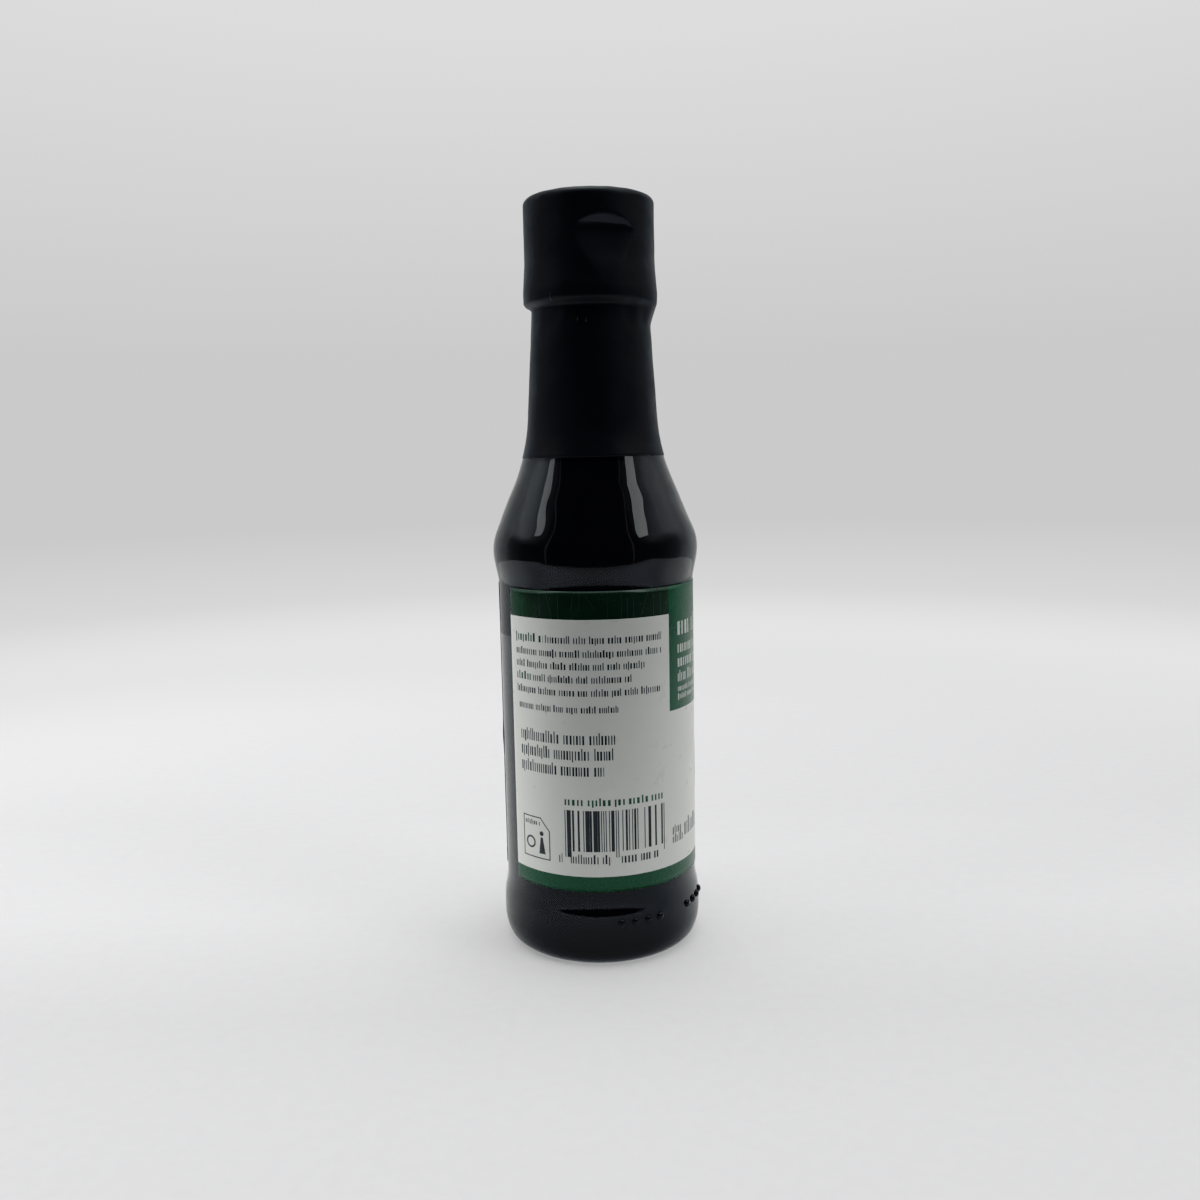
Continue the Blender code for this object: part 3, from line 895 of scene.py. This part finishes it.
def paper():
    """Pale paper with painted light and shade by y and a glow that lightens its shadows; far from the bottle
    it glows with the backdrop's painted brightness.
    """
    made = bpy.data.materials.new("pale_paper")
    made.use_nodes = True
    tree = made.node_tree
    tree.nodes.clear()
    nodes = Nodes(tree)
    spot = nodes.add("ShaderNodeTexCoord").outputs["Object"]
    axes = nodes.add("ShaderNodeSeparateXYZ", {0: spot})
    # painted light and shade: the wall glows darkest just above the floor and lighter higher up
    glow_tone = nodes.ramp(axes.outputs[2], BACKDROP_LIGHT_AND_SHADE, 0.0, 0.6)
    glow = nodes.add("ShaderNodeEmission", {0: glow_tone, 1: 1.0}).outputs[0]
    grain = nodes.noise(spot, 3 * MM, 5.0)
    fibre = nodes.ramp(grain, ((0.3, (0.82, 0.82, 0.825)), (0.7, (0.84, 0.84, 0.845))))
    # painted light and shade: the floor's brightness by y
    tone = nodes.ramp(axes.outputs[1], FLOOR_LIGHT_AND_SHADE, FLOOR_LIGHT_AND_SHADE[0][0], FLOOR_LIGHT_AND_SHADE[-1][0])
    shaded = nodes.blend(1.0, fibre, tone, "MULTIPLY")
    relief = nodes.add("ShaderNodeBump", {"Height": grain, "Distance": 0.02 * MM}).outputs[0]
    matt = nodes.add("ShaderNodeBsdfDiffuse", {"Color": shaded, "Normal": relief}).outputs[0]
    # painted light: a glow that lightens the floor's shadows
    even = nodes.add("ShaderNodeEmission", {0: shaded, 1: 0.96}).outputs[0]
    soft = nodes.add("ShaderNodeMixShader", {0: FLOOR_GLOW, 1: matt, 2: even}).outputs[0]
    far = nodes.add("ShaderNodeMapRange", {0: nodes.away(axes), 1: 0.22, 2: 0.44},
                    interpolation_type="SMOOTHSTEP").outputs[0]
    mixed = nodes.add("ShaderNodeMixShader", {0: far, 1: soft, 2: glow}).outputs[0]
    nodes.add("ShaderNodeOutputMaterial", {0: mixed})
    return made


def mirrored_paper():
    """The floor as reflections show it: a glowing copy with the bottle's soft shade painted on it."""
    made = bpy.data.materials.new("mirrored_paper")
    made.use_nodes = True
    tree = made.node_tree
    tree.nodes.clear()
    nodes = Nodes(tree)
    axes = nodes.add("ShaderNodeSeparateXYZ", {0: nodes.add("ShaderNodeTexCoord").outputs["Object"]})
    tone = nodes.ramp(axes.outputs[1], MIRRORED_LIGHT_AND_SHADE, MIRRORED_LIGHT_AND_SHADE[0][0], MIRRORED_LIGHT_AND_SHADE[-1][0])
    shade = nodes.ramp(nodes.away(axes), MIRRORED_SHADE, 0.0, MIRRORED_SHADE[-1][0])
    shaded = nodes.blend(1.0, tone, shade, "MULTIPLY")
    # painted reflection: the floor as a glow, with the bottle's shade painted in
    glow = nodes.add("ShaderNodeEmission", {0: shaded, 1: MIRRORED_GLOW}).outputs[0]
    nodes.add("ShaderNodeOutputMaterial", {0: glow})
    return made


def make_stage():
    """A pale floor that curves up into a pale wall all round, and a copy of the floor for reflections."""
    made = paper()
    near = disc("floor", FLOOR_R, made, FLOOR_FRONT_Y, keep_back=True)
    front = disc("floor_front", FLOOR_R, made, FLOOR_FRONT_Y, keep_back=False)
    curve = [Vector((FLOOR_R + (SWEEP_R - FLOOR_R) * sin(turn), SWEEP_H * (1 - cos(turn))))
             for turn in steps([0, pi / 2], radians(5))]
    top = [Vector((0, BACK_TOP_Z + 200 * MM)), Vector((SWEEP_R, BACK_TOP_Z))]
    backdrop = lathe("backdrop", top + curve[::-1], turns(96), made)
    for far in (front, backdrop):
        far.visible_diffuse = False
        far.visible_shadow = False
    for piece in (near, front, backdrop):
        piece.visible_glossy = False
    mirrored = disc("floor_mirrored", FLOOR_R, mirrored_paper(), MIRRORED_Y, keep_back=True)
    mirrored.location.z = 0.02 * MM
    mirrored.visible_camera = False
    mirrored.visible_diffuse = False
    mirrored.visible_transmission = False
    mirrored.visible_shadow = False


def disc(name, radius, made, cut_y, keep_back):
    """The part of a flat disc on the ground before or behind a line."""
    flat = bmesh.new()
    bmesh.ops.create_circle(flat, cap_ends=True, segments=96, radius=radius)
    everything = flat.verts[:] + flat.edges[:] + flat.faces[:]
    bmesh.ops.bisect_plane(flat, geom=everything, plane_co=(0, cut_y, 0), plane_no=(0, 1, 0),
                           clear_inner=keep_back, clear_outer=not keep_back)
    mesh = bpy.data.meshes.new(name)
    flat.to_mesh(mesh)
    flat.free()
    mesh.materials.append(made)
    obj = bpy.data.objects.new(name, mesh)
    bpy.context.scene.collection.objects.link(obj)
    return obj


def make_world():
    """A light tent by direction: dark front, lit slit, gray flanks, pale walls and ceiling."""
    world = bpy.data.worlds.new("light_tent")
    bpy.context.scene.world = world
    world.use_nodes = True
    tree = world.node_tree
    tree.nodes.clear()
    nodes = Nodes(tree)
    way = nodes.add("ShaderNodeTexCoord").outputs["Generated"]
    axes = nodes.add("ShaderNodeSeparateXYZ", {0: way})
    back = nodes.math("MULTIPLY", axes.outputs[1], -1.0)
    turn = nodes.math("DEGREES", nodes.math("ARCTAN2", axes.outputs[0], back))
    level = nodes.math("DEGREES", nodes.math("ARCSINE", axes.outputs[2]))
    tent = nodes.blend(nodes.ramp(level, WALLS_FOOT, 0, 90), nodes.ramp(turn, SKIRTS, -180, 180),
                       nodes.ramp(turn, WALLS, -180, 180))
    whole = nodes.blend(nodes.ramp(level, WALLS_TOP, 0, 90), tent, CEILING)
    lit = nodes.add("ShaderNodeBackground", {0: whole, 1: 1.0}).outputs[0]
    nodes.add("ShaderNodeOutputWorld", {0: lit})


def make_lamps():
    """Two strip lamps high at the sides, a soft panel overhead, and a fill light that nothing mirrors."""
    lamps = (  # name, azimuth, elevation, distance, width, height, power, whether it is a fill light
        ("strip_left", -73, 44, 0.75, 0.12, 0.46, 0.31, False),
        ("strip_right", 62, 44, 0.75, 0.18, 0.46, 0.60, False),
        ("fill_left", -104, 20, 0.80, 0.40, 0.40, 2.4, True),
        ("panel", 180, 86, 0.90, 0.42, 0.42, 1.7, False),
    )
    for name, azimuth, elevation, distance, width, height, power, fill in lamps:
        light = bpy.data.lights.new(name, "AREA")
        light.shape = "RECTANGLE"
        light.size = width
        light.size_y = height
        light.energy = power
        light.use_shadow = not fill
        lamp = bpy.data.objects.new(name, light)
        bpy.context.scene.collection.objects.link(lamp)
        flat = distance * cos(radians(elevation))
        spot = Vector(around(radians(azimuth), flat, distance * sin(radians(elevation))))
        lamp.location = spot + Vector((0, 0, LAMPS_AIM_Z))
        lamp.rotation_euler = spot.to_track_quat("Z", "Y").to_euler()
        lamp.visible_camera = False
        lamp.visible_glossy = not fill


def make_camera():
    """The camera at the photo's place, looking slightly down and rolled a little."""
    level = cos(CAMERA_DOWN)
    ahead = Vector((sin(CAMERA_TURN) * level, cos(CAMERA_TURN) * level, -sin(CAMERA_DOWN)))
    right = Vector((cos(CAMERA_TURN), -sin(CAMERA_TURN), 0))
    down = ahead.cross(right)
    rolled_right = cos(CAMERA_ROLL) * right + sin(CAMERA_ROLL) * down
    rolled_down = cos(CAMERA_ROLL) * down - sin(CAMERA_ROLL) * right
    data = bpy.data.cameras.new("camera")
    data.lens = LENS
    data.sensor_width = 36
    data.clip_start = 0.01
    data.clip_end = 20
    camera = bpy.data.objects.new("camera", data)
    bpy.context.scene.collection.objects.link(camera)
    axes = Matrix((rolled_right, -rolled_down, -ahead)).transposed().to_4x4()
    camera.matrix_world = Matrix.Translation(CAMERA_PLACE) @ axes
    bpy.context.scene.camera = camera


def bend(curve, pairs):
    """Straight stretches through these (seen, shown) pairs; the first pair is at the dark end."""
    curve.points[0].location = pairs[0]
    for seen, shown in pairs[1:]:
        curve.points.new(seen, shown)
    for point in curve.points:
        point.handle_type = "VECTOR"


def set_tones():
    """Plain display colours, with the deep blacks of the photo's camera."""
    view = bpy.context.scene.view_settings
    view.view_transform = "Standard"
    view.look = "None"
    view.exposure = 0.0
    view.gamma = 1.0
    view.use_curve_mapping = True
    curves = view.curve_mapping.curves
    bend(curves[3], DARK_TONES)
    bend(curves[1], [(srgb(level)[0], srgb(shown)[0]) for level, shown in GREEN_TONES])
    bend(curves[2], [(srgb(level)[0], srgb(shown)[0]) for level, shown in BLUE_TONES])
    view.curve_mapping.update()


make_glass()
make_sauce()
make_sleeve()
make_cap()
make_label()
make_print()
make_crease_highlights()
make_film_marks()
make_brow_highlight()
make_stage()
make_world()
make_lamps()
make_camera()
set_tones()
